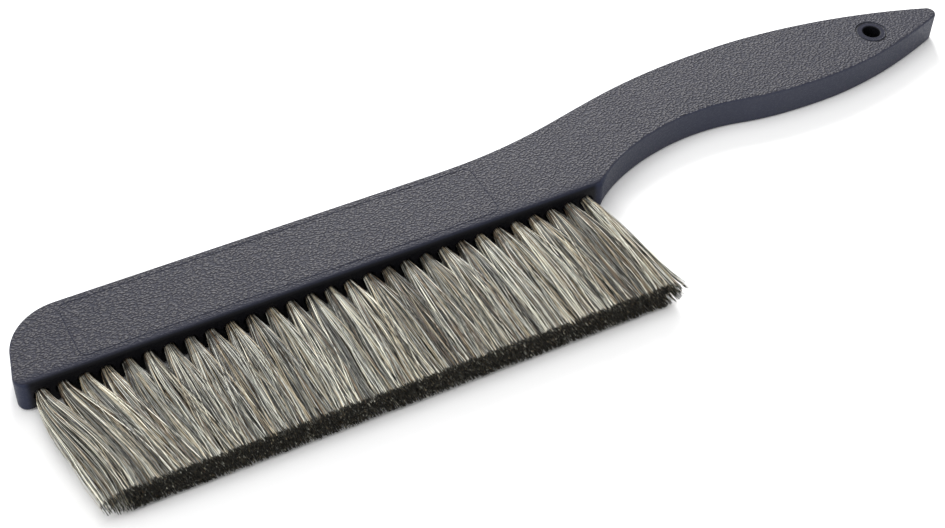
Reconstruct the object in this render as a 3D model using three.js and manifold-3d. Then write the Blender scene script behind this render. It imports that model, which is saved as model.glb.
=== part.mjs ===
// Bee brush: one moulded handle with a straight head, and a single row of hair tufts.
// Each tuft is a bundle of hair folded in half over a flat wire anchor at the bottom of a blind hole.
//
// Working frame, in millimetres: X runs along the tuft row from the first tuft towards the handle,
// Y runs from the tuft face towards the back of the brush, and Z is up from the lower broad face.
// The finished group is then moved so that its origin is the bottom centre of its bounding box.

import * as THREE from 'three';
import { mergeVertices } from 'three/addons/utils/BufferGeometryUtils.js';
import Module from 'manifold-3d';

// Driving dimensions of the tuft row.
const TUFT_COUNT = 29;
const TUFT_PITCH = 7;
const TRIM_LENGTH = 51.5;
const TRIM_SLOPE = 0.6; // extra hair length at the handle end of the trimmed edge

// Driving dimensions of the moulding.
const THICKNESS = 12;
const HEAD_HEIGHT = 30.5;
const END_MARGIN = 8.3; // first tuft to the free end, at the tuft face
const THROAT_MARGIN = 6.4; // last tuft to the start of the handle's underside
const EDGE_RADIUS = 0.8;
const EDGE_STEPS = 3;
const CURVE_STEPS = 12;
const CORNER_STEPS = 3;

const END_SLANT = THREE.MathUtils.degToRad(13);
const END_TOE_RADIUS = 4;
const END_HEEL_RADIUS = 20;

// The grip, as the stations of its underside and back, with the reach of each curve's handles.
const ARCH_TOP = { x: 254.6, y: 18.1, before: 21.7, after: 20.2 };
const GRIP_BELLY = { x: 307.3, y: 13.1, before: 34.2, after: 21.1 };
const BACK_START = { x: 151, y: HEAD_HEIGHT, after: 55.5 };
const BACK_CREST = { x: 280.8, y: 47, before: 66.2, after: 25.9 };
const THROAT = { corner: 1.1, angle: THREE.MathUtils.degToRad(47.5), after: 12.5 };
const NOSE = { x: 367.5, y: 28.3, radius: 3.1, taper: THREE.MathUtils.degToRad(20) };
const NOSE_UNDER_REACH = 20.4;
const NOSE_BACK_REACH = 30.8;

// Hang hole, and the two shallow lines that the mould leaves on each broad face.
const HANG_HOLE = { x: 339.9, y: 28, radius: 3.35, sides: 32 };
const RING_LINE_RADIUS = 5.8;
const PANEL = { left: 14.7, right: 163.9, low: 3.8, high: 27.8, corner: 3 };
const LINE_WIDTH = 0.5;
const LINE_DEPTH = 0.25;

// Tuft holes and what sits in them.
const GAP = 0.3;
const HOLE_RADIUS = 2.5;
const HOLE_DEPTH = 12;
const HOLE_MOUTH = 1; // how far the cutter of a hole reaches out of the tuft face
const HOLE_SIDES = 12;
const ROOT_RADIUS = HOLE_RADIUS - GAP;
const FOLD_CLEARANCE = 0.4;
const FOLD_ROUNDING = 0.3; // as a share of the root radius
const ANCHOR = { thickness: 0.5, height: 1.8, width: 6.2, depth: 8.9 };

// The free hair: how it flares, packs and gets squarer towards the trim.
const TUFT_SIDES = 12;
const TUFT_STATIONS = [0.4, -3, -7, -12, -20, -30, -40];
const PACK_HALF_THICKNESS = 5;
const FLARE_LENGTH = 11;
const PACK_FLARE_LENGTH = 30;
const ROOT_SQUARENESS = 2;
const TIP_SQUARENESS = 3.6;

// The open sides of the first and last tuft: reach at the trim, and how early they get there.
const FREE_END_SPREAD = { reach: 11.2, power: 2.3 };
const HANDLE_END_SPREAD = { reach: 9.6, power: 0.9 };

// The free end is swept towards the handle: by how much at the trim, and over what length of the row.
const SWEEP = { reach: 12.3, row: 33 };
const SWEEP_ONSET = { outer: 0.8, inner: 1.8 };

const ROW_LENGTH = (TUFT_COUNT - 1) * TUFT_PITCH;
const MID_Z = THICKNESS / 2;

const PLASTIC = { color: 0x45464c, roughness: 0.55, metalness: 0 };
const HAIR = { color: 0xa79f8e, roughness: 0.8, metalness: 0 };
const WIRE = { color: 0xb9b6ad, roughness: 0.35, metalness: 1 };

const wasm = await Module();
wasm.setup();

function toManifold(geometry) {
  const bare = geometry.clone();
  bare.deleteAttribute('normal');
  bare.deleteAttribute('uv');
  const merged = mergeVertices(bare);
  return new wasm.Manifold(new wasm.Mesh({
    numProp: 3,
    vertProperties: merged.attributes.position.array,
    triVerts: new Uint32Array(merged.index.array),
  }));
}

function toGeometry(solid) {
  const mesh = solid.getMesh();
  const geometry = new THREE.BufferGeometry();
  geometry.setAttribute('position', new THREE.BufferAttribute(mesh.vertProperties, 3));
  geometry.setIndex(new THREE.BufferAttribute(mesh.triVerts, 1));
  geometry.computeVertexNormals();
  return geometry;
}

function subtractAll(geometry, cutters) {
  const solid = cutters.reduce((left, cutter) => left.subtract(toManifold(cutter)), toManifold(geometry));
  return toGeometry(solid);
}

function namedMesh(name, geometry, look) {
  const mesh = new THREE.Mesh(geometry, new THREE.MeshStandardMaterial(look));
  mesh.name = name;
  return mesh;
}

// The side view of the moulding, counter-clockwise from the free end of the tuft face.
function mouldingOutline() {
  const shape = new THREE.Shape();
  const nosePoint = (angle) => new THREE.Vector2(
    NOSE.x + NOSE.radius * Math.cos(angle),
    NOSE.y + NOSE.radius * Math.sin(angle),
  );
  const noseUnder = nosePoint(NOSE.taper - Math.PI / 2);
  const noseBack = nosePoint(Math.PI / 2 - NOSE.taper);
  const throatX = ROW_LENGTH + THROAT_MARGIN;
  const throatPoint = (reach) => [
    throatX + reach * Math.cos(THROAT.angle),
    reach * Math.sin(THROAT.angle),
  ];

  drawFreeEnd(shape);
  shape.lineTo(throatX - THROAT.corner, 0);
  shape.quadraticCurveTo(throatX, 0, ...throatPoint(THROAT.corner));
  shape.bezierCurveTo(
    ...throatPoint(THROAT.after),
    ARCH_TOP.x - ARCH_TOP.before, ARCH_TOP.y,
    ARCH_TOP.x, ARCH_TOP.y,
  );
  shape.bezierCurveTo(
    ARCH_TOP.x + ARCH_TOP.after, ARCH_TOP.y,
    GRIP_BELLY.x - GRIP_BELLY.before, GRIP_BELLY.y,
    GRIP_BELLY.x, GRIP_BELLY.y,
  );
  shape.bezierCurveTo(
    GRIP_BELLY.x + GRIP_BELLY.after, GRIP_BELLY.y,
    noseUnder.x - NOSE_UNDER_REACH * Math.cos(NOSE.taper),
    noseUnder.y - NOSE_UNDER_REACH * Math.sin(NOSE.taper),
    noseUnder.x, noseUnder.y,
  );
  shape.absarc(NOSE.x, NOSE.y, NOSE.radius, NOSE.taper - Math.PI / 2, Math.PI / 2 - NOSE.taper);
  shape.bezierCurveTo(
    noseBack.x - NOSE_BACK_REACH * Math.cos(NOSE.taper),
    noseBack.y + NOSE_BACK_REACH * Math.sin(NOSE.taper),
    BACK_CREST.x + BACK_CREST.after, BACK_CREST.y,
    BACK_CREST.x, BACK_CREST.y,
  );
  shape.bezierCurveTo(
    BACK_CREST.x - BACK_CREST.before, BACK_CREST.y,
    BACK_START.x + BACK_START.after, BACK_START.y,
    BACK_START.x, BACK_START.y,
  );
  shape.closePath();
  return shape;
}

// The slanted free end, from its large heel arc on the back to its small toe arc on the tuft face.
function drawFreeEnd(shape) {
  const heelX = -END_MARGIN + HEAD_HEIGHT * Math.tan(END_SLANT);
  const heelReach = END_HEEL_RADIUS * Math.tan(Math.PI / 4 - END_SLANT / 2);
  const toeReach = END_TOE_RADIUS * Math.tan(Math.PI / 4 + END_SLANT / 2);
  const heelCentre = { x: heelX + heelReach, y: HEAD_HEIGHT - END_HEEL_RADIUS };
  const toeCentre = { x: -END_MARGIN + toeReach, y: END_TOE_RADIUS };
  shape.moveTo(heelCentre.x, HEAD_HEIGHT);
  shape.absarc(heelCentre.x, heelCentre.y, END_HEEL_RADIUS, Math.PI / 2, Math.PI - END_SLANT);
  shape.absarc(toeCentre.x, toeCentre.y, END_TOE_RADIUS, Math.PI - END_SLANT, 1.5 * Math.PI);
}

function plasticBlank() {
  const geometry = new THREE.ExtrudeGeometry(mouldingOutline(), {
    depth: THICKNESS - 2 * EDGE_RADIUS,
    curveSegments: CURVE_STEPS,
    bevelThickness: EDGE_RADIUS,
    bevelSize: EDGE_RADIUS,
    bevelOffset: -EDGE_RADIUS,
    bevelSegments: EDGE_STEPS,
  });
  return geometry.translate(0, 0, EDGE_RADIUS);
}

function tuftHole(x) {
  const length = HOLE_DEPTH + HOLE_MOUTH;
  const geometry = new THREE.CylinderGeometry(HOLE_RADIUS, HOLE_RADIUS, length, HOLE_SIDES);
  return geometry.translate(x, HOLE_DEPTH - length / 2, MID_Z);
}

// The room an anchor needs, the same in the plastic and in the hair folded over it.
function anchorPocket(x) {
  const geometry = new THREE.BoxGeometry(
    ANCHOR.thickness + 2 * GAP,
    ANCHOR.height + 2 * GAP,
    ANCHOR.width + 2 * GAP,
  );
  return geometry.translate(x, ANCHOR.depth, MID_Z);
}

function hangHole() {
  const geometry = new THREE.CylinderGeometry(HANG_HOLE.radius, HANG_HOLE.radius, 2 * THICKNESS, HANG_HOLE.sides);
  return geometry.rotateX(Math.PI / 2).translate(HANG_HOLE.x, HANG_HOLE.y, MID_Z);
}

function ringPath(path, radius) {
  path.absarc(HANG_HOLE.x, HANG_HOLE.y, radius, 0, 2 * Math.PI);
  return path;
}

function panelPath(path, inset) {
  const { left, right, low, high } = PANEL;
  const r = PANEL.corner - inset;
  const [x0, x1, y0, y1] = [left + inset, right - inset, low + inset, high - inset];
  path.moveTo(x0 + r, y0);
  path.lineTo(x1 - r, y0);
  path.quadraticCurveTo(x1, y0, x1, y0 + r);
  path.lineTo(x1, y1 - r);
  path.quadraticCurveTo(x1, y1, x1 - r, y1);
  path.lineTo(x0 + r, y1);
  path.quadraticCurveTo(x0, y1, x0, y1 - r);
  path.lineTo(x0, y0 + r);
  path.quadraticCurveTo(x0, y0, x0 + r, y0);
  return path;
}

// One shallow line, cut into both broad faces.
function faceLine(outer, inner, curveSegments) {
  outer.holes.push(inner);
  const cuts = [-LINE_DEPTH, THICKNESS - LINE_DEPTH];
  return cuts.map((z) => {
    const geometry = new THREE.ExtrudeGeometry(outer, {
      depth: 2 * LINE_DEPTH,
      curveSegments,
      bevelEnabled: false,
    });
    return geometry.translate(0, 0, z);
  });
}

function handleBlock(tuftPlaces) {
  const half = LINE_WIDTH / 2;
  const ring = faceLine(
    ringPath(new THREE.Shape(), RING_LINE_RADIUS + half),
    ringPath(new THREE.Path(), RING_LINE_RADIUS - half),
    CURVE_STEPS,
  );
  const panel = faceLine(
    panelPath(new THREE.Shape(), -half),
    panelPath(new THREE.Path(), half),
    CORNER_STEPS,
  );
  const cutters = [
    hangHole(),
    ...ring,
    ...panel,
    ...tuftPlaces.map(tuftHole),
    ...tuftPlaces.map(anchorPocket),
  ];
  return namedMesh('handle_block', subtractAll(plasticBlank(), cutters), PLASTIC);
}

const smooth = (value) => THREE.MathUtils.smoothstep(value, 0, 1);

const travelledAt = (y) => THREE.MathUtils.clamp(-y / TRIM_LENGTH, 0, 1);

// How far hair rooted at x is swept sideways by the time it is at height y.
function sweepAt(x, y) {
  const travelled = travelledAt(y);
  const outer = smooth(travelled ** SWEEP_ONSET.outer);
  const inner = travelled ** SWEEP_ONSET.inner;
  const amount = SWEEP.reach * Math.exp(-((x / SWEEP.row) ** 2));
  return amount * THREE.MathUtils.lerp(outer, inner, THREE.MathUtils.clamp(x / SWEEP.row, 0, 1));
}

// The edge of a tuft towards its neighbour.
function sharedEdge(index, side, y) {
  const x = index * TUFT_PITCH;
  const middle = x + side * TUFT_PITCH / 2;
  const flare = smooth(-y / FLARE_LENGTH);
  return THREE.MathUtils.lerp(x + side * ROOT_RADIUS, middle - side * GAP / 2, flare) + sweepAt(middle, y);
}

// The edge of the first or last tuft towards the open air.
function openEdge(index, side, y, spread) {
  const x = index * TUFT_PITCH;
  const flare = 1 - (1 - travelledAt(y)) ** spread.power;
  return x + side * THREE.MathUtils.lerp(ROOT_RADIUS, spread.reach, flare) + sweepAt(x, y);
}

function tuftSpan(index, y) {
  const first = index === 0;
  const last = index === TUFT_COUNT - 1;
  return {
    left: first ? openEdge(index, -1, y, FREE_END_SPREAD) : sharedEdge(index, -1, y),
    right: last ? openEdge(index, 1, y, HANDLE_END_SPREAD) : sharedEdge(index, 1, y),
  };
}

function tuftSection(index, y) {
  const { left, right } = tuftSpan(index, y);
  const packed = smooth(-y / PACK_FLARE_LENGTH);
  const halfX = (right - left) / 2;
  const halfZ = THREE.MathUtils.lerp(ROOT_RADIUS, PACK_HALF_THICKNESS, Math.sqrt(packed));
  const power = 2 / THREE.MathUtils.lerp(ROOT_SQUARENESS, TIP_SQUARENESS, packed);
  const bend = (value) => Math.sign(value) * Math.abs(value) ** power;
  return Array.from({ length: TUFT_SIDES }, (_, side) => {
    const angle = (side + 0.5) * 2 * Math.PI / TUFT_SIDES;
    const across = (left + right) / 2 + halfX * bend(Math.cos(angle));
    return new THREE.Vector3(across, y, MID_Z + halfZ * bend(Math.sin(angle)));
  });
}

// The rounded fold at the bottom of the hole.
function foldSection(index, y, radius) {
  return Array.from({ length: TUFT_SIDES }, (_, side) => {
    const angle = (side + 0.5) * 2 * Math.PI / TUFT_SIDES;
    return new THREE.Vector3(
      index * TUFT_PITCH + radius * Math.cos(angle),
      y,
      MID_Z + radius * Math.sin(angle),
    );
  });
}

// A closed skin over rings of points, all with the same number of points, ordered towards -Y.
function loft(rings) {
  const sides = rings[0].length;
  const middle = (ring) => ring.reduce((sum, p) => sum.add(p), new THREE.Vector3()).divideScalar(sides);
  const points = [...rings.flat(), middle(rings[0]), middle(rings.at(-1))];
  const [rootCentre, tipCentre] = [points.length - 2, points.length - 1];
  const lastRing = (rings.length - 1) * sides;
  const faces = [];
  for (let side = 0; side < sides; side += 1) {
    const next = (side + 1) % sides;
    faces.push(rootCentre, next, side);
    faces.push(tipCentre, lastRing + side, lastRing + next);
    for (let start = 0; start < lastRing; start += sides) {
      faces.push(start + side, start + next, start + sides + next);
      faces.push(start + side, start + sides + next, start + sides + side);
    }
  }
  const geometry = new THREE.BufferGeometry().setFromPoints(points);
  geometry.setIndex(faces);
  geometry.computeVertexNormals();
  return geometry;
}

function tuft(index) {
  const x = index * TUFT_PITCH;
  const fold = HOLE_DEPTH - FOLD_CLEARANCE;
  const trim = -(TRIM_LENGTH - TRIM_SLOPE * (1 - x / ROW_LENGTH));
  const rings = [
    foldSection(index, fold, ROOT_RADIUS * (1 - FOLD_ROUNDING)),
    foldSection(index, fold - ROOT_RADIUS * FOLD_ROUNDING, ROOT_RADIUS),
    ...TUFT_STATIONS.map((y) => tuftSection(index, y)),
    tuftSection(index, trim),
  ];
  const name = `tuft_${String(index + 1).padStart(2, '0')}`;
  return namedMesh(name, subtractAll(loft(rings), [anchorPocket(x)]), HAIR);
}

function anchor(index) {
  const geometry = new THREE.BoxGeometry(ANCHOR.thickness, ANCHOR.height, ANCHOR.width);
  const mesh = namedMesh(`anchor_${String(index + 1).padStart(2, '0')}`, geometry, WIRE);
  mesh.position.set(index * TUFT_PITCH, ANCHOR.depth, MID_Z);
  return mesh;
}

const indices = Array.from({ length: TUFT_COUNT }, (_, index) => index);
const group = new THREE.Group();
group.add(handleBlock(indices.map((index) => index * TUFT_PITCH)));
group.add(...indices.map(tuft));
group.add(...indices.map(anchor));

const box = new THREE.Box3().setFromObject(group, true);
const centre = box.getCenter(new THREE.Vector3());
group.position.set(-centre.x, -centre.y, -box.min.z);

export default group;
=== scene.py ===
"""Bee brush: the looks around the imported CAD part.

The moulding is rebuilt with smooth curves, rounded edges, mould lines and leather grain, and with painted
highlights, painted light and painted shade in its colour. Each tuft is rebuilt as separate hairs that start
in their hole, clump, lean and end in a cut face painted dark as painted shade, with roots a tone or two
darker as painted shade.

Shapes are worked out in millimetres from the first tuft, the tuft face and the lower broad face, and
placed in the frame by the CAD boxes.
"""

import math
from statistics import NormalDist

import bmesh
import bpy
import numpy as np
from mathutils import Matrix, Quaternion, Vector


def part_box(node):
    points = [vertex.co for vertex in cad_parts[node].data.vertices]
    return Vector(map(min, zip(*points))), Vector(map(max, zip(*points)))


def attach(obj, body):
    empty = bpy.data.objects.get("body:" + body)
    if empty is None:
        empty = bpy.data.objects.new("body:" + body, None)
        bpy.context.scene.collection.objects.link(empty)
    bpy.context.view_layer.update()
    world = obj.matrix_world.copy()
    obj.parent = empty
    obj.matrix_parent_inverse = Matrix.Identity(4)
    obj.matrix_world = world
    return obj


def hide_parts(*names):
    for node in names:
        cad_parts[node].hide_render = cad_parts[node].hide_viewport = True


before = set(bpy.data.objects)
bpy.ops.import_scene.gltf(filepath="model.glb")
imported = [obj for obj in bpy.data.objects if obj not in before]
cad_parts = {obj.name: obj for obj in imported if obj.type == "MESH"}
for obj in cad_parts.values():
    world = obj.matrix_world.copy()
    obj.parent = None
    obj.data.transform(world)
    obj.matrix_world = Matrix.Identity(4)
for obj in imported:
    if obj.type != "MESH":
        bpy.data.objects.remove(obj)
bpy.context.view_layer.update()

MM = 0.001
SEED = 29

# ---------------------------------------------------------------- places and sizes from the frame
TUFT_NODES = sorted(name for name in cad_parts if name.startswith("tuft_"))
ANCHOR_NODES = sorted(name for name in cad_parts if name.startswith("anchor_"))
BLOCK_LOW, BLOCK_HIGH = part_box("handle_block")
FIRST_ANCHOR = sum(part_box(ANCHOR_NODES[0]), Vector()) / 2
LAST_ANCHOR = sum(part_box(ANCHOR_NODES[-1]), Vector()) / 2
ORIGIN = Vector((FIRST_ANCHOR.x, BLOCK_LOW.y, BLOCK_LOW.z))

ROW_LENGTH = (LAST_ANCHOR.x - FIRST_ANCHOR.x) / MM
PITCH = ROW_LENGTH / (len(TUFT_NODES) - 1)
THICKNESS = (BLOCK_HIGH.z - BLOCK_LOW.z) / MM
MID_Z = THICKNESS / 2
ANCHOR_DEPTH = (FIRST_ANCHOR.y - ORIGIN.y) / MM
ANCHOR_SIZE = (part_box(ANCHOR_NODES[0])[1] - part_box(ANCHOR_NODES[0])[0]) / MM

# ---------------------------------------------------------------- the moulding, in millimetres
HEAD_HEIGHT = 30.5
END_MARGIN = 8.3
END_SLANT = math.radians(13)
TOE_RADIUS = 4
HEEL_RADIUS = 20
THROAT_MARGIN = 6.4
THROAT_CORNER = 1.1
THROAT_ANGLE = math.radians(47.5)
THROAT_REACH = 12.5
ARCH_TOP = (254.6, 18.1)
ARCH_REACH = (21.7, 20.2)
BELLY = (307.3, 13.1)
BELLY_REACH = (34.2, 21.1)
NOSE = (367.5, 28.3)
NOSE_RADIUS = 3.1
NOSE_TAPER = math.radians(20)
NOSE_REACH = (20.4, 30.8)
CREST = (280.8, 47)
CREST_REACH = (25.9, 66.2)
BACK_START = (151, HEAD_HEIGHT)
BACK_REACH = 55.5
EDGE_RADIUS = 0.8
TUFT_EDGE_RADIUS = 2.1
TUFT_EDGE_FADE = 7
EDGE_STEPS = 6

HANG_HOLE = (339.9, 28)
HANG_HOLE_RADIUS = 3.35
HANG_HOLE_LIP = 0.5
RING_LINE_RADIUS = 5.8
PANEL_LOW = (14.7, 3.8)
PANEL_HIGH = (163.9, 27.8)
PANEL_CORNER = 3
PANEL_LINE_RADIUS = 0.2
RING_LINE_CUT_RADIUS = 0.45

TUFT_HOLE_RADIUS = 2.5
TUFT_HOLE_DEPTH = 12
TUFT_HOLE_LIP = 0.25
POCKET_GAP = 0.3

# ---------------------------------------------------------------- the hair, in millimetres
HAIRS_PER_TUFT = 520
HAIR_RADIUS = (0.06, 0.14)
HAIR_SIDES = 3
ROOT_RADIUS = 1.8
ROOT_DEPTH = 3
# How far from the root, least and most in millimetres, hairs are painted a tone or two darker as painted
# shade.
PAINTED_ROOT_SHADE_LENGTH = (0, 9)
TRIM_LENGTH = 51.5
TRIM_SLOPE = 0.6
TRIM_RAGGED = 0.3
# Painted shade: the last length of each hair, least and most in millimetres, takes the dark colour of its
# cut end.
CUT_END_LENGTH = (0.5, 1.3)
PACK_HALF_THICKNESS = 5
THROUGH_POWER = 3.2
# How far the hairs of a tuft reach sideways at the trim, and how early they get there.
PACK_SPREAD = (5.8, 1.9)
FREE_END_SPREAD = (12.4, 2.3)
HANDLE_END_SPREAD = (10.4, 0.9)
# The cross-section of the first and last tuft at the trim: 2 is an ellipse, and more is squarer.
END_SQUARENESS = 2.4
# The free end is swept towards the handle: by how much at the trim, and over what length of the row.
SWEEP = (12.3, 33)
SWEEP_ONSET = (0.8, 1.8)
CLUMPS_PER_TUFT = 36
CLUMP_RANGE = 0.95
CLUMP_PULL = 0.3
CLUMP_LEAN = 0.8
HAIR_LEAN = 1.4
# Waves along the hairs: how far sideways, and the least and most waves over the length.
CLUMP_WAVE = (0.4, 0.5, 1.3)
HAIR_WAVE = (0.3, 0.8, 2.4)
LIFT_WAVE = (0.15, 1, 2.8)
STRAY_SHARE = 0.04
STRAY_REACH = 3.5
PATH_STEPS = 12
PATH_CROWDING = 1.25  # above 1, the steps are closer together at the root


def place(points):
    """Points in millimetres from the first tuft, in the frame's metres."""
    return np.asarray(points, float) * MM + np.array(ORIGIN)


# ---------------------------------------------------------------- curves
def bezier(start, start_handle, end_handle, end, steps=26):
    """Points of a cubic curve, without its end."""
    t = np.linspace(0, 1, steps, endpoint=False)[:, None]
    corners = np.array([start, start_handle, end_handle, end], float)
    weights = np.hstack([(1 - t) ** 3, 3 * (1 - t) ** 2 * t, 3 * (1 - t) * t**2, t**3])
    return weights @ corners


def rounded(start, corner, end, steps=6):
    """A parabola that rounds a corner, without its end."""
    handles = [(np.array(side) + 2 * np.array(corner)) / 3 for side in (start, end)]
    return bezier(start, *handles, end, steps)


def arc(centre, radius, start, end, steps=12):
    """Points of a circular arc, without its end."""
    angle = np.linspace(start, end, steps, endpoint=False)
    return np.array(centre) + radius * np.column_stack([np.cos(angle), np.sin(angle)])


def smoothstep(value):
    return value**2 * (3 - 2 * value)


def ahead(point, x):
    return (point[0] + x, point[1])


def along(point, reach, angle):
    return (point[0] + reach * math.cos(angle), point[1] + reach * math.sin(angle))


def normals(outline):
    """The direction into a closed counter-clockwise outline at each of its points."""
    tangent = np.roll(outline, -1, axis=0) - np.roll(outline, 1, axis=0)
    tangent /= np.linalg.norm(tangent, axis=1)[:, None]
    return np.column_stack([-tangent[:, 1], tangent[:, 0]])


def free_end():
    """The slanted end of the head, from the back to the tuft face."""
    heel_reach = HEEL_RADIUS * math.tan(math.pi / 4 - END_SLANT / 2)
    toe_reach = TOE_RADIUS * math.tan(math.pi / 4 + END_SLANT / 2)
    heel_x = HEAD_HEIGHT * math.tan(END_SLANT) - END_MARGIN + heel_reach
    heel = arc((heel_x, HEAD_HEIGHT - HEEL_RADIUS), HEEL_RADIUS, math.pi / 2, math.pi - END_SLANT, 24)
    toe_x = toe_reach - END_MARGIN
    toe = arc((toe_x, TOE_RADIUS), TOE_RADIUS, math.pi - END_SLANT, 1.5 * math.pi)
    return [heel, toe, [(toe_x, 0)]]


def moulding_outline():
    """The side view of the moulding, counter-clockwise from the heel of the free end."""
    throat = (ROW_LENGTH + THROAT_MARGIN, 0)
    throat_end = along(throat, THROAT_CORNER, THROAT_ANGLE)
    under = along(NOSE, NOSE_RADIUS, NOSE_TAPER - math.pi / 2)
    over = along(NOSE, NOSE_RADIUS, math.pi / 2 - NOSE_TAPER)
    return np.vstack([
        *free_end(),
        rounded(ahead(throat, -THROAT_CORNER), throat, throat_end),
        bezier(throat_end, along(throat, THROAT_REACH, THROAT_ANGLE),
               ahead(ARCH_TOP, -ARCH_REACH[0]), ARCH_TOP),
        bezier(ARCH_TOP, ahead(ARCH_TOP, ARCH_REACH[1]), ahead(BELLY, -BELLY_REACH[0]), BELLY),
        bezier(BELLY, ahead(BELLY, BELLY_REACH[1]),
               along(under, -NOSE_REACH[0], NOSE_TAPER), under),
        arc(NOSE, NOSE_RADIUS, NOSE_TAPER - math.pi / 2, math.pi / 2 - NOSE_TAPER),
        bezier(over, along(over, -NOSE_REACH[1], -NOSE_TAPER), ahead(CREST, CREST_REACH[0]), CREST),
        bezier(CREST, ahead(CREST, -CREST_REACH[1]), ahead(BACK_START, BACK_REACH), BACK_START),
        [BACK_START],
    ])


def panel_outline():
    """The rounded rectangle of the mould insert."""
    left, low = PANEL_LOW
    right, high = PANEL_HIGH
    r = PANEL_CORNER
    corners = [(right - r, low + r), (right - r, high - r), (left + r, high - r), (left + r, low + r)]
    turns = [arc(c, r, (i - 1) * math.pi / 2, i * math.pi / 2 + 0.01) for i, c in enumerate(corners)]
    return np.vstack(turns)


# ---------------------------------------------------------------- solids
def skin(rings, close_ends=True):
    """A bmesh over rings of points in millimetres. Without close_ends the last ring joins the first."""
    bm = bmesh.new()
    made = [[bm.verts.new(Vector(p)) for p in place(ring)] for ring in rings]
    pairs = list(zip(made, made[1:]))
    if not close_ends:
        pairs.append((made[-1], made[0]))
    for a, b in pairs:
        for i in range(len(a)):
            j = (i + 1) % len(a)
            bm.faces.new((a[i], a[j], b[j], b[i]))
    if close_ends:
        bm.faces.new(made[0])
        bm.faces.new(made[-1])
    bmesh.ops.recalc_face_normals(bm, faces=bm.faces)
    return bm


def turned(profile, centre, axis, steps):
    """A solid of revolution: profile is (radius, height) along axis 'Y' or 'Z' from centre."""
    angle = np.linspace(0, 2 * math.pi, steps, endpoint=False)
    rings = []
    for radius, height in profile:
        u = radius * np.cos(angle)
        v = radius * np.sin(angle)
        h = np.full(steps, height)
        ring = np.column_stack([u, h, v] if axis == "Y" else [u, v, h])
        rings.append(ring + np.array(centre))
    return skin(rings)


def line_cutter(outline, radius, z):
    """A thin round bead along a closed outline, to cut a mould line into a broad face."""
    angle = np.linspace(0, 2 * math.pi, 10, endpoint=False)
    rings = []
    for point, side in zip(outline, normals(outline)):
        sideways = point + radius * np.cos(angle)[:, None] * side
        rings.append(np.column_stack([sideways, z + radius * np.sin(angle)]))
    return skin(rings, close_ends=False)


def hang_hole_cutter():
    """The hanging hole, with a rounded lip on both broad faces."""
    widest = HANG_HOLE_RADIUS + HANG_HOLE_LIP
    turns = np.linspace(0, math.pi / 2, EDGE_STEPS)
    lip = [(widest - HANG_HOLE_LIP * math.sin(a), HANG_HOLE_LIP * (1 - math.cos(a))) for a in turns]
    lower = [(widest, -1), *lip]
    upper = [(radius, THICKNESS - height) for radius, height in reversed(lower)]
    return turned(lower + upper, (*HANG_HOLE, 0), "Z", 72)


def tuft_hole_cutter(x):
    """A blind hole with a small chamfer at the tuft face."""
    r = TUFT_HOLE_RADIUS
    lip = TUFT_HOLE_LIP
    profile = [(r + lip, -1), (r + lip, 0), (r, lip), (r, TUFT_HOLE_DEPTH)]
    return turned(profile, (x, 0, MID_Z), "Y", 32)


def pocket_cutter(x):
    """The room for one anchor, across the bottom of its hole."""
    half_x, half_y, half_z = (size / 2 + POCKET_GAP for size in ANCHOR_SIZE)
    corners = [(-half_x, -half_y), (half_x, -half_y), (half_x, half_y), (-half_x, half_y)]
    rings = [[(x + u, ANCHOR_DEPTH + v, MID_Z + z) for u, v in corners] for z in (-half_z, half_z)]
    return skin(rings)


def moulding_blank():
    """The outline at full thickness, with both rims rounded, more so along the tufts but not at the toe."""
    outline = moulding_outline()
    inward = normals(outline)
    off_toe = np.clip(outline[:, :1] / TUFT_EDGE_FADE + 1, 0, 1)
    near_tufts = np.clip(1 - outline[:, 1:] / TUFT_EDGE_FADE, 0, 1) * off_toe
    radius = EDGE_RADIUS + (TUFT_EDGE_RADIUS - EDGE_RADIUS) * smoothstep(near_tufts)
    upper = []
    for turn in np.linspace(0, math.pi / 2, EDGE_STEPS + 1):
        inset = outline + inward * radius * (1 - math.cos(turn))
        upper.append(np.hstack([inset, THICKNESS - radius * (1 - math.sin(turn))]))
    lower = [ring * (1, 1, -1) + (0, 0, THICKNESS) for ring in reversed(upper)]
    return skin(lower + upper)


def to_object(name, *parts):
    """One object from one or more bmeshes."""
    mesh = bpy.data.meshes.new(name)
    joined = bmesh.new()
    for part in parts:
        scratch = bpy.data.meshes.new("scratch")
        part.to_mesh(scratch)
        part.free()
        joined.from_mesh(scratch)
        bpy.data.meshes.remove(scratch)
    joined.to_mesh(mesh)
    joined.free()
    obj = bpy.data.objects.new(name, mesh)
    bpy.context.scene.collection.objects.link(obj)
    return obj


def cut(obj, cutters):
    """Subtracts the cutters from obj for good."""
    tool = to_object("cutter", *cutters)
    modifier = obj.modifiers.new("cut", "BOOLEAN")
    modifier.operation = "DIFFERENCE"
    modifier.solver = "EXACT"
    modifier.object = tool
    bpy.context.view_layer.update()
    result = bpy.data.meshes.new_from_object(obj.evaluated_get(bpy.context.evaluated_depsgraph_get()))
    obj.modifiers.clear()
    obj.data = result
    bpy.data.objects.remove(tool)


def make_moulding():
    obj = to_object("moulded_handle", moulding_blank())
    ring = arc(HANG_HOLE, RING_LINE_RADIUS, 0, 2 * math.pi, 72)
    tuft_x = [i * PITCH for i in range(len(TUFT_NODES))]
    cutters = [hang_hole_cutter(), *map(tuft_hole_cutter, tuft_x)]
    for z in (0, THICKNESS):
        cutters.append(line_cutter(ring, RING_LINE_CUT_RADIUS, z))
        cutters.append(line_cutter(panel_outline(), PANEL_LINE_RADIUS, z))
    cut(obj, cutters)
    cut(obj, list(map(pocket_cutter, tuft_x)))
    obj.data.shade_smooth()
    obj.data.set_sharp_from_angle(angle=math.radians(38))
    weighted = obj.modifiers.new("flat faces stay flat", "WEIGHTED_NORMAL")
    weighted.keep_sharp = True
    obj.data.materials.clear()
    obj.data.materials.append(plastic_material())
    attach(obj, "root")
    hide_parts("handle_block")


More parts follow.
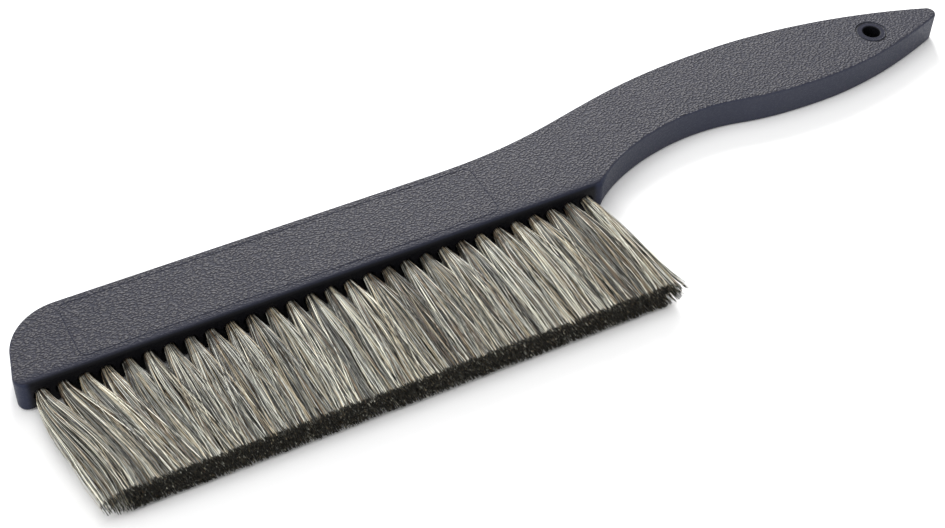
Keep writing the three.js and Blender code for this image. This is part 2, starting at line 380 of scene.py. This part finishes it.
# ---------------------------------------------------------------- hair
def sweep(x0, travelled):
    """How far hair rooted at x0 is swept towards the handle, after this share of its length."""
    reach, row = SWEEP
    outer_onset, inner_onset = SWEEP_ONSET
    outer = smoothstep(travelled**outer_onset)
    inner = travelled**inner_onset
    blend = min(x0 / row, 1)
    return reach * math.exp(-((x0 / row) ** 2)) * (outer + (inner - outer) * blend)


def spread(index, side):
    """Reach and power of the sideways spread of a tuft, on its left (-1) or right (1) side."""
    if index == 0 and side < 0:
        return FREE_END_SPREAD
    if index == len(TUFT_NODES) - 1 and side > 0:
        return HANDLE_END_SPREAD
    return PACK_SPREAD


def flare(travelled, power):
    """From 0 at the root to 1 at the trim, quickly at first."""
    return 1 - (1 - travelled) ** power


def clumped(spots, rng):
    """Draws hairs sideways to the nearest of a few points, and says which one that is."""
    centres = rng.uniform(-CLUMP_RANGE, CLUMP_RANGE, (CLUMPS_PER_TUFT, 2))
    nearest = np.linalg.norm(spots[:, None] - centres[None], axis=2).argmin(axis=1)
    drawn = spots.copy()
    drawn[:, 0] += (centres[nearest, 0] - spots[:, 0]) * CLUMP_PULL * rng.random(len(spots))
    return drawn, nearest


def wander(travelled, kind, groups, rng):
    """A sideways wave along the hairs, its own for each group of hairs."""
    amount, waves_from, waves_to = kind
    phase = rng.uniform(0, 2 * math.pi, groups.max() + 1)
    waves = rng.uniform(waves_from, waves_to, groups.max() + 1)
    turn = 2 * math.pi * waves[groups, None] * travelled + phase[groups, None]
    return amount * np.sqrt(travelled) * np.sin(turn)


def is_end(index):
    return index in (0, len(TUFT_NODES) - 1)


def hair_heights(tip_x, x0, rng):
    """The stations of each hair along Y, from inside its hole to its cut end."""
    count = len(tip_x)
    trim = TRIM_LENGTH - TRIM_SLOPE * (1 - (x0 + tip_x) / ROW_LENGTH)
    tip_y = -trim + np.abs(rng.normal(0, TRIM_RAGGED, count))
    share = np.linspace(0, 1, PATH_STEPS) ** PATH_CROWDING
    y = ROOT_DEPTH + (tip_y[:, None] - ROOT_DEPTH) * share
    return np.insert(y, PATH_STEPS - 1, tip_y + rng.uniform(*CUT_END_LENGTH, count), axis=1)


def hair_slants(index, side, clumps, rng):
    """How far each hair leans sideways at the trim. At the ends of the row they only lean inwards."""
    count = len(side)
    slant = rng.normal(0, HAIR_LEAN, count) + rng.normal(0, CLUMP_LEAN, CLUMPS_PER_TUFT)[clumps]
    stray = rng.random(count) < STRAY_SHARE
    slant += stray * rng.uniform(-STRAY_REACH, STRAY_REACH, count)
    return -side * np.abs(slant) if is_end(index) else slant


def hair_paths(index, rng):
    """The centre lines of a tuft's hairs in millimetres, shape (hairs, stations, 3), and their clumps."""
    x0 = index * PITCH
    each = np.arange(HAIRS_PER_TUFT)
    spots = rng.uniform(-1, 1, (HAIRS_PER_TUFT, 2))
    root = ROOT_RADIUS * spots * np.sqrt(1 - spots[:, ::-1] ** 2 / 2)
    tips, clumps = clumped(spots, rng)
    side = np.sign(tips[:, 0])
    reach, power = np.array([spread(index, s) for s in side]).T
    tip_x = tips[:, 0] * reach
    if is_end(index):
        tip_x *= (1 - np.abs(tips[:, 1]) ** END_SQUARENESS) ** (1 / END_SQUARENESS)
    tip_z = tips[:, 1] * PACK_HALF_THICKNESS

    y = hair_heights(tip_x, x0, rng)
    travelled = np.clip(-y / TRIM_LENGTH, 0, 1)
    across = flare(travelled, power[:, None])
    through = flare(travelled, THROUGH_POWER)
    slant = hair_slants(index, side, clumps, rng)
    x = x0 + root[:, :1] * (1 - across) + tip_x[:, None] * across
    x += slant[:, None] * travelled + sweep(x0, travelled)
    x += wander(travelled, CLUMP_WAVE, clumps, rng) + wander(travelled, HAIR_WAVE, each, rng)
    z = root[:, 1:] * (1 - through) + tip_z[:, None] * through + wander(travelled, LIFT_WAVE, each, rng)
    z = MID_Z + np.clip(z, -PACK_HALF_THICKNESS, PACK_HALF_THICKNESS)
    return np.stack([x, y, z], axis=2), clumps


def hair_tones(clumps, rng):
    """A tone for each hair, darkest first, with tufts and clumps that run lighter or darker."""
    shade = rng.normal(0, HAIR_VARIETY, len(clumps))
    shade += rng.normal(0, CLUMP_VARIETY, CLUMPS_PER_TUFT)[clumps] + rng.normal(0, TUFT_VARIETY)
    shares = np.cumsum([share for _, share, _ in HAIR_TONES])[:-1]
    limits = [NormalDist().inv_cdf(share) for share in shares]
    return np.searchsorted(limits, shade)


def root_slots(tones, y, rng):
    """The material along each hair: darker by a tone or two over the first few millimetres, as painted
    shade at the roots.
    """
    slots = np.repeat(tones[:, None], y.shape[1] - 1, axis=1)
    shaded = rng.uniform(*PAINTED_ROOT_SHADE_LENGTH, (len(tones), 1))
    near_root = (y[:, :-1] + y[:, 1:]) / 2 > -shaded
    darker = rng.integers(1, 3, (len(tones), 1))
    return np.maximum(slots - near_root * darker, 0)


def cut_end_slots(tones, rng):
    """The material of each cut end: nearly all dark, a few brown, both as painted shade, and a few as light
    as their hair.
    """
    draw = rng.random(len(tones))
    dark = len(HAIR_TONES)
    brown = dark + 1
    return np.where(draw < DARK_ENDS, dark, np.where(draw < DARK_ENDS + BROWN_ENDS, brown, tones))


def hair_mesh(name, paths, slots, ends, rng):
    """Every hair as a closed thin prism along its path, with a material for each length of it."""
    count, stations, _ = paths.shape
    radius = rng.uniform(*HAIR_RADIUS, (count, 1, 1))
    angle = rng.uniform(0, 2 * math.pi, (count, 1, 1))
    angle = angle + np.arange(HAIR_SIDES) * 2 * math.pi / HAIR_SIDES
    ring = np.stack([np.cos(angle), np.zeros_like(angle), np.sin(angle)], axis=3) * radius[..., None]
    points = paths[:, :, None, :] + ring

    corner = np.arange(count * stations * HAIR_SIDES).reshape(count, stations, HAIR_SIDES)
    after = np.roll(corner, -1, axis=2)
    sides = np.stack([corner[:, :-1], after[:, :-1], after[:, 1:], corner[:, 1:]], axis=3)
    slots[:, -1] = ends
    faces = sides.reshape(-1, 4).tolist()
    faces += corner[:, 0, ::-1].tolist() + corner[:, -1].tolist()
    material = np.concatenate([np.repeat(slots.ravel(), HAIR_SIDES), slots[:, 0], ends])

    mesh = bpy.data.meshes.new(name)
    mesh.from_pydata(place(points.reshape(-1, 3)).tolist(), [], faces)
    mesh.polygons.foreach_set("material_index", material.astype(np.int32))
    mesh.shade_smooth()
    return mesh


def make_tuft(index, node, materials):
    rng = np.random.default_rng(SEED * 1000 + index)
    paths, clumps = hair_paths(index, rng)
    tones = hair_tones(clumps, rng)
    slots = root_slots(tones, paths[..., 1], rng)
    ends = cut_end_slots(tones, rng)
    name = f"hair_{node}"
    mesh = hair_mesh(name, paths, slots, ends, rng)
    for material in materials:
        mesh.materials.append(material)
    obj = bpy.data.objects.new(name, mesh)
    bpy.context.scene.collection.objects.link(obj)
    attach(obj, "root")
    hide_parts(node)


# ---------------------------------------------------------------- materials
# Hair tones from dark to light: name, share of the hairs, colour.
HAIR_TONES = (
    ("black", 0.19, (0.016, 0.014, 0.011)),
    ("dark_grey", 0.15, (0.060, 0.060, 0.055)),
    ("brown", 0.07, (0.170, 0.115, 0.068)),
    ("grey", 0.19, (0.225, 0.225, 0.198)),
    ("beige", 0.13, (0.465, 0.392, 0.270)),
    ("light_grey", 0.15, (0.620, 0.618, 0.545)),
    ("ivory", 0.12, (0.880, 0.855, 0.715)),
)
# How much the tone varies from hair to hair, clump to clump and tuft to tuft, in standard deviations.
HAIR_VARIETY = 0.97
CLUMP_VARIETY = 0.2
TUFT_VARIETY = 0.08
# Shares of the cut ends painted dark and brown as painted shade. The others are as light as their hair.
DARK_ENDS = 0.8
BROWN_ENDS = 0.15
# Painted shade: the near-black and brown colours of the cut ends.
CUT_END_PAINTED_SHADE_TONES = (
    ("cut_end_painted_shade", (0.010, 0.0092, 0.005)),
    ("cut_end_brown_painted_shade", (0.055, 0.046, 0.028)),
)


HAIR_ROUGHNESS = 0.45
CUT_END_ROUGHNESS = 0.8

# The plastic: grain depth in millimetres, and its colours.
GRAIN_DEPTH = 0.6
NOSE_GRAIN = 0.5  # the share of the grain that is left at the nose
# Painted light: the smooth sides are coloured lighter and bluer than the broad faces of the same plastic.
PAINTED_LIGHT_SIDE_COLOUR = (0.020, 0.024, 0.046)
# Painted shade: the near-black colour of the plastic between the tufts, the wall of the hanging hole and
# the ring line.
PAINTED_SHADE_COLOUR = (0.003, 0.003, 0.005)
SMOOTH_COLOUR = (0.006, 0.007, 0.019)
VALLEY_COLOUR = (0.009, 0.010, 0.022)
# Painted highlight: the light colour on the crests of the grain.
PAINTED_CREST_HIGHLIGHT = (0.094, 0.090, 0.097)


class Shader:
    """A material's node tree, with short calls for the nodes used here."""

    def __init__(self, name):
        self.material = bpy.data.materials.new(name)
        self.material.use_nodes = True
        self.nodes = self.material.node_tree.nodes
        self.links = self.material.node_tree.links
        self.principled = self.nodes["Principled BSDF"]

    def node(self, kind, inputs=None, **settings):
        made = self.nodes.new(kind)
        for key, value in settings.items():
            setattr(made, key, value)
        for key, value in (inputs or {}).items():
            if isinstance(value, bpy.types.NodeSocket):
                self.links.new(value, made.inputs[key])
            else:
                made.inputs[key].default_value = value
        return made

    def noise(self, vector, scale, detail, output="Fac"):
        inputs = {"Vector": vector, "Scale": scale, "Detail": detail}
        return self.node("ShaderNodeTexNoise", inputs).outputs[output]

    def math(self, operation, a, b):
        return self.node("ShaderNodeMath", {0: a, 1: b}, operation=operation).outputs[0]

    def ramp(self, value, low, high, out_low, out_high):
        """A smooth step from out_low to out_high as value goes from low to high."""
        inputs = {"Value": value, "From Min": low, "From Max": high, "To Min": out_low, "To Max": out_high}
        return self.node("ShaderNodeMapRange", inputs, interpolation_type="SMOOTHSTEP").outputs["Result"]

    def blend(self, factor, low, high):
        """A colour between low and high, each a colour or another node's output."""
        inputs = {"Factor": factor, 6: low, 7: high}
        inputs.update({key: (*value, 1) for key, value in inputs.items() if isinstance(value, tuple)})
        return self.node("ShaderNodeMix", inputs, data_type="RGBA").outputs[2]

    def node_input(self, key, value):
        """Links a node's output to an input of the surface, or sets a constant on it."""
        socket = self.principled.inputs[key]
        if isinstance(value, bpy.types.NodeSocket):
            self.links.new(value, socket)
        else:
            socket.default_value = value

    def set(self, **inputs):
        for key, value in inputs.items():
            self.node_input(key.replace("_", " ").title(), value)


def millimetres(shader, scale=(1, 1, 1)):
    """Object coordinates in millimetres, stretched by scale."""
    coordinates = shader.node("ShaderNodeTexCoord").outputs["Object"]
    inputs = {"Vector": coordinates, "Scale": [1 / MM * s for s in scale]}
    return shader.node("ShaderNodeMapping", inputs).outputs["Vector"]


def leather_pebbles(shader, place_mm):
    """The raised pebbles of the leather grain, 0 in the valleys and 1 on the crests."""
    noise = shader.noise(place_mm, 0.55, 2, "Color")
    inputs = {"Factor": 0.16, 6: place_mm, 7: noise}
    warp = shader.node("ShaderNodeMix", inputs, data_type="RGBA", blend_type="LINEAR_LIGHT")
    inputs = {"Vector": warp.outputs[2], "Rotation": (0, 0, 0.35), "Scale": (0.9, 1.5, 1.2)}
    stretched = shader.node("ShaderNodeMapping", inputs).outputs["Vector"]
    inputs = {"Vector": stretched, "Scale": 1, "Smoothness": 0.5}
    cells = shader.node("ShaderNodeTexVoronoi", inputs, feature="SMOOTH_F1").outputs["Distance"]
    return shader.ramp(cells, 0.05, 0.75, 1, 0)


def broad_faces(shader):
    """1 on the two flat broad faces and 0 on the sides."""
    normal = shader.node("ShaderNodeNewGeometry").outputs["Normal"]
    upright = shader.node("ShaderNodeSeparateXYZ", {"Vector": normal}).outputs["Z"]
    return shader.ramp(shader.math("ABSOLUTE", upright, 0), 0.8, 0.97, 0, 1)


def off_tuft_face_shade(shader, split):
    """0 on the plastic between the tufts, where little light gets and the colour is painted near black as
    painted shade, and 1 elsewhere.
    """
    above = shader.ramp(split["Y"], ORIGIN.y / MM + 0.3, ORIGIN.y / MM + 1.6, 0, 1)
    row_middle = ORIGIN.x / MM + ROW_LENGTH / 2
    along_row = shader.math("ABSOLUTE", shader.math("SUBTRACT", split["X"], row_middle), 0)
    beyond = shader.ramp(along_row, ROW_LENGTH / 2 + 2.5, ROW_LENGTH / 2 + 5, 0, 1)
    return shader.math("MAXIMUM", above, beyond)


def from_hang_hole(shader, split):
    """The distance in millimetres from the axis of the hanging hole."""
    flat = shader.node("ShaderNodeCombineXYZ", {"X": split["X"], "Y": split["Y"]}).outputs[0]
    centre = (ORIGIN.x / MM + HANG_HOLE[0], ORIGIN.y / MM + HANG_HOLE[1], 0)
    inputs = {0: flat, 1: centre}
    return shader.node("ShaderNodeVectorMath", inputs, operation="DISTANCE").outputs["Value"]


def plastic_material():
    """Dark blue-grey polypropylene: leather grain on the broad faces, smooth rounded sides, with painted
    highlights, light and shade.
    """
    shader = Shader("moulded_plastic")
    place_mm = millimetres(shader)
    split = shader.node("ShaderNodeSeparateXYZ", {"Vector": place_mm}).outputs
    tuft_face = ORIGIN.y / MM
    pebbles = leather_pebbles(shader, place_mm)
    fine = shader.noise(place_mm, 3, 3)
    blotch = shader.noise(place_mm, 0.06, 2)

    broad = broad_faces(shader)
    radius = from_hang_hole(shader, split)
    off_ring = shader.ramp(radius, RING_LINE_RADIUS - 1, RING_LINE_RADIUS, 0, 1)
    off_tufts = shader.ramp(split["Y"], tuft_face + 0.5, tuft_face + 6, 0, 1)
    face_grain = shader.math("MULTIPLY", off_tufts, off_ring)
    nose = ORIGIN.x / MM + NOSE[0]
    worn = shader.ramp(split["X"], nose - 70, nose - 5, 1, NOSE_GRAIN)
    grained = shader.math("MULTIPLY", shader.math("MULTIPLY", broad, face_grain), worn)
    grain = shader.math("ADD", pebbles, shader.math("MULTIPLY", fine, 0.35))
    smooth = shader.math("MULTIPLY", fine, 0.25)
    height = shader.node("ShaderNodeMix", {"Factor": grained, "A": smooth, "B": grain}).outputs[0]
    bump = shader.node("ShaderNodeBump", {"Height": height, "Strength": 1.0, "Distance": GRAIN_DEPTH * MM})

    # Painted shade: the wall of the hanging hole is coloured near black.
    off_hole_wall_shade = shader.ramp(radius, HANG_HOLE_RADIUS + 0.1, HANG_HOLE_RADIUS + 0.5, 0, 1)
    # Painted shade: the groove of the ring line is coloured near black.
    from_line = shader.math("ABSOLUTE", shader.math("SUBTRACT", radius, RING_LINE_RADIUS), 0)
    off_ring_line_shade = shader.ramp(from_line, 0.15, 0.45, 0, 1)
    # Painted shade: the plastic between the tufts is coloured near black, as are the hole wall and the ring
    # line.
    outside_painted_shade = shader.math("MULTIPLY", off_tuft_face_shade(shader, split), off_hole_wall_shade)
    outside_painted_shade = shader.math("MULTIPLY", outside_painted_shade, off_ring_line_shade)
    face = shader.blend(face_grain, SMOOTH_COLOUR, VALLEY_COLOUR)
    # Painted light: the sides take their lighter, bluer colour by the way they face.
    surface = shader.blend(broad, PAINTED_LIGHT_SIDE_COLOUR, face)
    valley_and_painted_shade = shader.blend(outside_painted_shade, PAINTED_SHADE_COLOUR, surface)
    patches = shader.math("MULTIPLY", shader.math("MULTIPLY", blotch, outside_painted_shade), 0.14)
    # Painted highlight on the grain crests, plus lighter patches at random.
    crest_painted_highlight = shader.math("MULTIPLY", shader.math("POWER", pebbles, 1.6), grained)
    light = shader.math("ADD", crest_painted_highlight, shader.math("MULTIPLY", patches, face_grain))
    shader.node_input("Specular IOR Level", shader.ramp(face_grain, 0, 1, 0.16, 0.32))
    shader.set(
        base_color=shader.blend(light, valley_and_painted_shade, PAINTED_CREST_HIGHLIGHT),
        roughness=shader.ramp(grain, 0.2, 1.2, 0.6, 0.46),
        normal=bump.outputs[0],
    )
    return shader.material


def hair_material(name, colour, roughness):
    """One tone of hair, glossier in some places than in others."""
    shader = Shader(f"hair_{name}")
    gloss = shader.noise(millimetres(shader, (3, 0.08, 3)), 1, 2)
    uneven = shader.ramp(gloss, 0.3, 0.7, roughness - 0.1, roughness + 0.1)
    shader.set(base_color=(*colour, 1), roughness=uneven)
    return shader.material


def hair_materials():
    tones = [hair_material(name, colour, HAIR_ROUGHNESS) for name, _, colour in HAIR_TONES]
    ends = [hair_material(name, colour, CUT_END_ROUGHNESS) for name, colour in CUT_END_PAINTED_SHADE_TONES]
    return tones + ends


def wire_material():
    """Galvanised anchor wire, drawn lengthwise."""
    shader = Shader("anchor_wire")
    spangle = shader.noise(millimetres(shader, (6, 6, 0.3)), 2, 2)
    colour = shader.blend(spangle, (0.50, 0.50, 0.50), (0.68, 0.67, 0.64))
    bump = shader.node("ShaderNodeBump", {"Height": spangle, "Strength": 0.3, "Distance": 0.02 * MM})
    worn = shader.ramp(spangle, 0.3, 0.7, 0.3, 0.45)
    shader.set(base_color=colour, metallic=1.0, roughness=worn, normal=bump.outputs[0])
    return shader.material


def floor_material():
    shader = Shader("studio_floor")
    grain = shader.noise(millimetres(shader), 0.02, 2)
    shader.set(base_color=(0.95, 0.95, 0.95, 1), roughness=shader.ramp(grain, 0.3, 0.7, 0.85, 0.95))
    return shader.material


# ---------------------------------------------------------------- camera, light and floor
CAMERA_AZIMUTH = math.radians(29.93)
CAMERA_ELEVATION = math.radians(45.54)
CAMERA_ROLL = math.radians(2.6)
CAMERA_TARGET = Vector((-35.85, -7.55, 6.5)) * MM
CAMERA_DISTANCE = 0.585
CAMERA_LENS = 66.5


def make_camera():
    flat = math.cos(CAMERA_ELEVATION)
    forward = Vector((
        flat * math.sin(CAMERA_AZIMUTH),
        flat * math.cos(CAMERA_AZIMUTH),
        -math.sin(CAMERA_ELEVATION),
    ))
    data = bpy.data.cameras.new("camera")
    data.lens = CAMERA_LENS
    data.sensor_width = 36
    data.clip_start = 0.01
    camera = bpy.data.objects.new("camera", data)
    camera.rotation_mode = "QUATERNION"
    camera.location = CAMERA_TARGET - forward * CAMERA_DISTANCE
    camera.rotation_quaternion = forward.to_track_quat("-Z", "Y") @ Quaternion((0, 0, 1), CAMERA_ROLL)
    bpy.context.scene.collection.objects.link(camera)
    bpy.context.scene.camera = camera


def area_light(name, place_m, size, watts):
    """A square light that faces the origin."""
    data = bpy.data.lights.new(name, "AREA")
    data.size = size
    data.energy = watts
    light = bpy.data.objects.new(name, data)
    light.location = place_m
    light.rotation_mode = "QUATERNION"
    light.rotation_quaternion = (-Vector(place_m)).to_track_quat("-Z", "Y")
    bpy.context.scene.collection.objects.link(light)


def make_studio():
    world = bpy.data.worlds.new("studio")
    world.use_nodes = True
    background = world.node_tree.nodes["Background"]
    background.inputs["Color"].default_value = (1, 1, 1, 1)
    background.inputs["Strength"].default_value = 0.66
    bpy.context.scene.world = world
    area_light("back_light", (0.3, 0.8, 0.5), 0.45, 13)
    area_light("top_fill", (-0.1, 0.1, 1.0), 0.8, 4)
    area_light("left_fill", (-0.9, -0.1, 0.5), 0.5, 3)
    make_floor()
    bpy.context.scene.view_settings.view_transform = "Standard"


def make_floor():
    """A flat floor, a tenth of a millimetre under the brush."""
    mesh = bpy.data.meshes.new("studio_floor")
    reach = 3.0
    corners = [(-reach, -reach), (reach, -reach), (reach, reach), (-reach, reach)]
    mesh.from_pydata([(x, y, -0.1 * MM) for x, y in corners], [], [(0, 1, 2, 3)])
    mesh.materials.append(floor_material())
    floor = bpy.data.objects.new("studio_floor", mesh)
    bpy.context.scene.collection.objects.link(floor)


def finish_anchors():
    material = wire_material()
    for node in ANCHOR_NODES:
        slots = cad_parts[node].data.materials
        slots.clear()
        slots.append(material)


make_camera()
make_studio()
make_moulding()
finish_anchors()
HAIR_MATERIALS = hair_materials()
for tuft_index, tuft_node in enumerate(TUFT_NODES):
    make_tuft(tuft_index, tuft_node, HAIR_MATERIALS)
